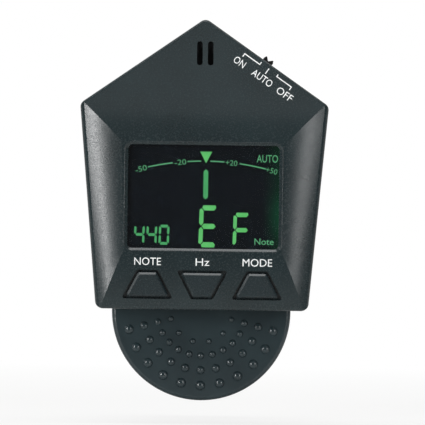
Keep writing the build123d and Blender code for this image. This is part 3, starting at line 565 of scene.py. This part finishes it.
# what the display shows, in millimetres from the middle of its glass
display = {
    "scaleRadius": 52.0, "scaleTop": 7.25, "scaleCentre": 0.45, "scaleWidth": 0.25, "scaleSteps": 6,
    "scaleRuns": ((-11.75, -6.75), (-3.75, -1.0), (0.85, 3.7), (6.8, 12.1)),
    "scaleMarks": (("-50", -13.15), ("-20", -5.2), ("+20", 5.15), ("+50", 13.3)),
    "markHeight": 1.15, "markWidth": 2.05,
    "pointer": (2.4, 2.35, 9.15), "bar": (0.95, 5.6, -0.5),
    "noteLow": (-0.8, -10.2), "noteSize": (3.9, 8.5), "noteStroke": 1.04,
    "keyLow": (6.1, -10.15), "keySize": (3.45, 7.05), "keyStroke": 0.88,
    "pitchLow": (-13.92, -9.8), "pitchSize": (2.12, 4.05), "pitchStep": 2.5, "pitchStroke": 0.56,
    "uprightShare": 0.8, "cornerCut": 0.4, "gapShare": 0.12, "slant": 0.025,
    "words": (("AUTO", 12.85, 7.95, 1.6, 4.3), ("Note", 12.4, -8.85, 1.35, 3.9)), "wordWeight": 0.006,
    "behindLens": 0.06, "film": 0.02,
}
segmentsOf = {"E": "afged", "F": "afge", "4": "fgbc", "0": "abcdef"}
glassLow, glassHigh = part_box("display_glass")
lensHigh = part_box("display_lens")[1]
displayX = (glassLow.x + glassHigh.x) / 2
displayZ = (glassLow.z + glassHigh.z) / 2


def onDisplay(x, z):
    return displayX + x * mm, displayZ + z * mm


def addDigit(flat, sign, low, digitSize, stroke):
    # seven bars with pointed ends and clear gaps, their outer corners cut less than the inner ones
    half, gap = stroke / 2, stroke * display["gapShare"]
    upright = half * display["uprightShare"]
    width, height = digitSize
    left, right = upright, width - upright
    bottom, middle, top = half, height / 2, height - half
    # each bar: its two ends, then how deep its left or upper side and its other side are cut at each
    deep, slight = 1.0, display["cornerCut"]
    bars = {"a": (left, top, right, top, slight, slight, deep, deep),
            "g": (left, middle, right, middle, deep, deep, deep, deep),
            "d": (left, bottom, right, bottom, deep, deep, slight, slight),
            "f": (left, middle, left, top, deep, slight, deep, deep),
            "b": (right, middle, right, top, deep, deep, deep, slight),
            "e": (left, bottom, left, middle, slight, deep, deep, deep),
            "c": (right, bottom, right, middle, deep, deep, slight, deep)}
    for key in sign:
        x0, z0, x1, z1, cut0, cut1, cut2, cut3 = bars[key]
        start, end = Vector((x0, z0)), Vector((x1, z1))
        along = (end - start).normalized()
        lying = key in "agd"
        across = Vector((-along.y, along.x)) * (half if lying else upright)
        tip = along * (upright if lying else half)
        start, end = start + along * gap, end - along * gap
        corners = (start, start + tip * cut2 - across, end - tip * cut3 - across,
                   end, end - tip * cut1 + across, start + tip * cut0 + across)
        addShape(flat, [onDisplay(low[0] + x + (z - middle) * display["slant"], low[1] + z)
                        for x, z in corners])


def addFigures(name, flat, light):
    # a film of light between the glass and the window
    film = display["film"] * mm
    layFlat(flat, lambda x, z: lensHigh.y + display["behindLens"] * mm, film, film)
    addPiece(name, flat, "head", light)


def makeDisplay():
    def scaleHeight(x):
        r = display["scaleRadius"]
        return display["scaleTop"] - r + sqrt(r * r - x * x)

    fine = bmesh.new()
    centre = display["scaleCentre"]
    steps = display["scaleSteps"]
    for start, end in display["scaleRuns"]:
        xs = [start + (end - start) * i / steps for i in range(steps + 1)]
        addStroke(fine, [onDisplay(centre + x, scaleHeight(x)) for x in xs],
                  display["scaleWidth"] * mm)
    tall = display["markHeight"]
    for words, x in display["scaleMarks"]:
        addWord(fine, words, tall * mm, tall * display["markWidth"] * mm,
                onDisplay(centre + x, scaleHeight(x)), -asin(x / display["scaleRadius"]))
    for words, x, z, tall, width in display["words"]:
        addWord(fine, words, tall * mm, width * mm, onDisplay(x, z), 0, display["wordWeight"])
    addFigures("display_scale", fine, fineLight)

    bright = bmesh.new()
    width, tall, top = display["pointer"]
    addShape(bright, [onDisplay(centre + x, z)
                      for x, z in ((-width / 2, top), (0, top - tall), (width / 2, top))])
    addDigit(bright, segmentsOf["E"], display["noteLow"], display["noteSize"], display["noteStroke"])
    addDigit(bright, segmentsOf["F"], display["keyLow"], display["keySize"], display["keyStroke"])
    addFigures("display_segments", bright, brightLight)

    dim = bmesh.new()
    width, top, bottom = display["bar"]
    half = width / 2
    addShape(dim, [onDisplay(centre + x, z) for x, z in (
        (-half, top - half), (0, top), (half, top - half),
        (half, bottom + half), (0, bottom), (-half, bottom + half))])
    for index, digit in enumerate("440"):
        low = (display["pitchLow"][0] + index * display["pitchStep"], display["pitchLow"][1])
        addDigit(dim, segmentsOf[digit], low, display["pitchSize"], display["pitchStroke"])
    addFigures("display_thin_segments", dim, dimLight)


makeDisplay()
print("display lit")

# the words and lines printed on the head
legend = {
    "capHeight": 1.62, "labelRise": 1.22,
    "labels": (("left_key", "NOTE", 5.4), ("centre_key", "Hz", 2.8), ("right_key", "MODE", 6.0)),
    "edgeAngle": 35.0, "tipAboveTop": 0.35, "wordHeight": 1.55, "wordInside": 3.2, "lineWidth": 0.21,
    "words": (("ON", 10.8, 2.5), ("AUTO", 16.4, 4.7), ("OFF", 22.0, 3.6)),
    "lines": (((10.65, 2.0), (10.65, 1.27), (14.4, 1.27), (14.4, 0.68)), ((16.4, 2.15), (16.4, 0.85)),
              ((18.6, 0.75), (18.6, 1.27), (22.25, 1.27), (22.25, 2.0))),
    "proud": 0.012, "sunk": 0.02,
}


def makeLegends():
    flat = bmesh.new()
    for key, words, width in legend["labels"]:
        low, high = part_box(key)
        place = ((low.x + high.x) / 2, high.z + legend["labelRise"] * mm)
        addWord(flat, words, legend["capHeight"] * mm, width * mm, place)
    slope = radians(-legend["edgeAngle"])

    def onRoof(along, inside):
        # along is measured from the peak down the right edge, inside at a right angle to it
        x = along * cos(slope) + inside * sin(slope)
        z = legend["tipAboveTop"] + along * sin(slope) - inside * cos(slope)
        return x * mm, caseHigh.z + z * mm

    for words, along, width in legend["words"]:
        place = onRoof(along, legend["wordInside"])
        addWord(flat, words, legend["wordHeight"] * mm, width * mm, place, slope)
    for line in legend["lines"]:
        addStroke(flat, [onRoof(*point) for point in line], legend["lineWidth"] * mm)
    layFlat(flat, lambda x, z: surfaceHit("front_case", x, z)[0].y,
            legend["proud"] * mm, legend["sunk"] * mm)
    addPiece("printed_legends", flat, "head", ink)


makeLegends()
print("legends printed")

# the fine bead moulded round the window
bead = {"width": 32.0, "tall": 22.1, "corner": 1.6, "wide": 0.24, "proud": 0.09, "sunk": 0.12,
        "perCorner": 8, "arch": 6, "smooth": 60}


def makeBead():
    halfX, halfZ, r = bead["width"] / 2, bead["tall"] / 2, bead["corner"]
    # the corners' centres and the directions outward from them, once round the window
    path = []
    for corner, (signX, signZ) in enumerate(((1, 1), (-1, 1), (-1, -1), (1, -1))):
        for i in range(bead["perCorner"] + 1):
            a = (corner + i / bead["perCorner"]) * pi / 2
            path.append((signX * (halfX - r), signZ * (halfZ - r), cos(a), sin(a)))
    # a low arch, its feet sunk in the case
    turns = [pi * k / bead["arch"] for k in range(bead["arch"] + 1)]
    arch = [(bead["wide"] / 2 * cos(a), -bead["proud"] * sin(a)) for a in turns]
    section = [(arch[0][0], bead["sunk"])] + arch + [(arch[-1][0], bead["sunk"])]
    bm = bmesh.new()
    rings = []
    for x, z, outX, outZ in path:
        ring = []
        for outward, depth in section:
            across, up = onDisplay(x + outX * (r + outward), z + outZ * (r + outward))
            ring.append(bm.verts.new((across, caseLow.y + depth * mm, up)))
        rings.append(ring)
    addSkin(bm, rings, closed=True)
    addPiece("window_bead", bm, "head", caseAbs, bead["smooth"])


makeBead()
print("window bead made")

# the finger pads' domes, over the plain studs
grip = {
    "rows": ((6.4, 1.1, 0.42), (9.15, 1.35, 0.43), (12.1, 1.6, 0.45), (15.25, 1.85, 0.48)),
    "spread": 75, "step": 15, "frontHeight": -35.5, "rearHeight": -30.37,
    "skirt": (1.14, -0.01), "cove": (1.03, 0.05), "crown": 0.8, "shoulder": 2.6,
    "around": 24, "rings": 8, "smooth": 60,
}


def addDome(bm, frameMatrix, x, z, radius, height):
    # a low dome, flatter on top than at its shoulder, with a small cove at its foot
    (skirt, sunk), (cove, rise) = grip["skirt"], grip["cove"]
    profile = [(radius * skirt, sunk), (radius * cove, height * rise)]
    for ring in range(1, grip["rings"]):
        share = cos(ring / grip["rings"] * pi / 2) ** grip["crown"]
        profile.append((radius * share, height * sqrt(1 - share ** grip["shoulder"])))
    rings = []
    for r, y in profile:
        rings.append([bm.verts.new(frameMatrix @ Vector(((x + r * c) * mm, (z + r * s) * mm, y * mm)))
                      for c, s in circle(grip["around"])])
    tip = bm.verts.new(frameMatrix @ Vector((x * mm, z * mm, height * mm)))
    addSkin(bm, rings)
    for i in range(grip["around"]):
        bm.faces.new((rings[-1][i], rings[-1][(i + 1) % grip["around"]], tip))
    bm.faces.new(rings[0][::-1])


def makeDomes(name, node, body, height, fromBehind):
    point, normal = surfaceHit(node, 0, height * mm, fromBehind)
    across = Vector((-1 if fromBehind else 1, 0, 0))
    upward = normal.cross(across)
    frameMatrix = Matrix((across, upward, normal)).transposed().to_4x4()
    frameMatrix.translation = point
    bm = bmesh.new()
    for row, (radius, width, dome) in enumerate(grip["rows"]):
        step = grip["step"] if row else 2 * grip["step"]    # the innermost row has half as many
        for index in range(2 * grip["spread"] // step + 1):
            angle = radians(index * step - grip["spread"])
            addDome(bm, frameMatrix, radius * sin(angle), -radius * cos(angle), width / 2, dome)
    addPiece(name, bm, body, dotAbs, grip["smooth"])


makeDomes("front_grip_domes", "front_lever", "clip_front", grip["frontHeight"], False)
makeDomes("rear_grip_domes", "rear_lever", "clip_rear", grip["rearHeight"], True)
print("finger pads dotted")

# case screws, with a cross recess and ringed shanks for a thread
screw = {
    "head": 1.75, "thick": 1.1, "round": 0.25, "roundSteps": 4, "shank": 0.95, "length": 5.7,
    "cross": {"wide": 0.28, "long": 0.98, "deep": 0.6, "fall": 0.5, "sideSlope": 0.09, "endSlope": 0.35},
    "threadPitch": 0.6, "threadDepth": 0.18, "threadStart": 0.3, "rootEnd": 0.35, "crest": 0.7,
    "tipLeft": 0.6, "tipShare": 0.6, "tipBack": 0.1, "around": 64, "rings": 22, "smooth": 40,
}


def crossDepth(x, z):
    # how deep the cross is at a place on the head, deepest in the middle
    cross = screw["cross"]
    deep = 0.0
    for along, across in ((abs(x), abs(z)), (abs(z), abs(x))):
        reach = min((cross["long"] - along) / cross["endSlope"],
                    (cross["wide"] - across) / cross["sideSlope"], 1.0)
        deep = max(deep, reach * (1 - cross["fall"] * along / cross["long"]))
    return cross["deep"] * deep


def makeScrew(node):
    low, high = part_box(node)
    centre = Vector(((low.x + high.x) / 2, high.y, (low.z + high.z) / 2))
    head, thick, edge = screw["head"], screw["thick"], screw["round"]

    # each ring's radius and depth, from the head's middle outwards, over its round edge, down the shank
    profile = [((head - edge) * i / screw["rings"], None) for i in range(1, screw["rings"] + 1)]
    for i in range(1, screw["roundSteps"] + 1):
        a = pi / 2 * i / screw["roundSteps"]
        profile.append((head - edge + edge * sin(a), edge * (1 - cos(a))))
    profile += [(head, thick), (screw["shank"], thick)]
    pitch, root = screw["threadPitch"], screw["shank"] - screw["threadDepth"]
    for turn in range(int((screw["length"] - screw["tipLeft"]) / pitch)):
        start = thick + screw["threadStart"] + turn * pitch
        profile += [(root, start), (root, start + pitch * screw["rootEnd"]),
                    (screw["shank"], start + pitch * screw["crest"])]
    profile.append((screw["shank"] * screw["tipShare"], thick + screw["length"] - screw["tipBack"]))

    bm = bmesh.new()
    rings = []
    for r, depth in profile:
        ring = []
        for c, s in circle(screw["around"]):
            x, z = r * c, r * s
            y = crossDepth(x, z) if depth is None else depth
            ring.append(bm.verts.new(centre + Vector((x, -y, z)) * mm))
        rings.append(ring)
    middle = bm.verts.new(centre + Vector((0, -crossDepth(0, 0), 0)) * mm)
    for i in range(screw["around"]):
        bm.faces.new((middle, rings[0][i], rings[0][(i + 1) % screw["around"]]))
    addSkin(bm, rings)
    bm.faces.new(rings[-1])
    piece = addPiece("cross_" + node, bm, "head", steel, screw["smooth"])
    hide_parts(node)


for node in sorted(nodes):
    if node.startswith("case_screw"):
        makeScrew(node)
print("case screws threaded")

# the torsion spring, round wire that winds up as the real clip opens; here it is one fixed piece on no
# body
spring = {"wire": 1.1, "radius": 3.1, "pitch": 1.15, "turns": 3.346, "leg": 15.0, "legSteps": 8,
          "around": 12, "steps": 36, "smooth": 50}


def makeSpring():
    hinge = next(Vector(j["pos_m"]) for j in frame["joints"] if j["name"] == "jaw_hinge")
    half = spring["pitch"] * spring["turns"] / 2
    total = 2 * pi * spring["turns"]

    def onCoil(angle):
        return Vector((half - spring["pitch"] * angle / (2 * pi), -spring["radius"] * cos(angle),
                       spring["radius"] * sin(angle)))

    # the wire's middle line: a straight leg, the coil and the other leg
    count = ceil(spring["turns"] * spring["steps"])
    line = [onCoil(total * i / count) for i in range(count + 1)]
    start = (line[0] - line[1]).normalized()
    end = (line[-1] - line[-2]).normalized()
    legs = [k * spring["leg"] / spring["legSteps"] for k in range(spring["legSteps"], 0, -1)]
    line = [line[0] + start * k for k in legs] + line + [line[-1] + end * k for k in reversed(legs)]
    bm = bmesh.new()
    rings = []
    r = spring["wire"] / 2
    for index, point in enumerate(line):
        before = line[max(index - 1, 0)]
        after = line[min(index + 1, len(line) - 1)]
        along = (after - before).normalized()
        side = along.cross(Vector((1, 0, 0))).normalized()
        over = side.cross(along)
        rings.append([bm.verts.new(hinge + (point + side * r * c + over * r * s) * mm)
                      for c, s in circle(spring["around"])])
    addSkin(bm, rings)
    bm.faces.new(rings[0][::-1])
    bm.faces.new(rings[-1])
    piece = addPiece("spring_wire", bm, None, springSteel, spring["smooth"])
    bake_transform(piece)
    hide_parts("clip_spring")


makeSpring()
print("spring wound")
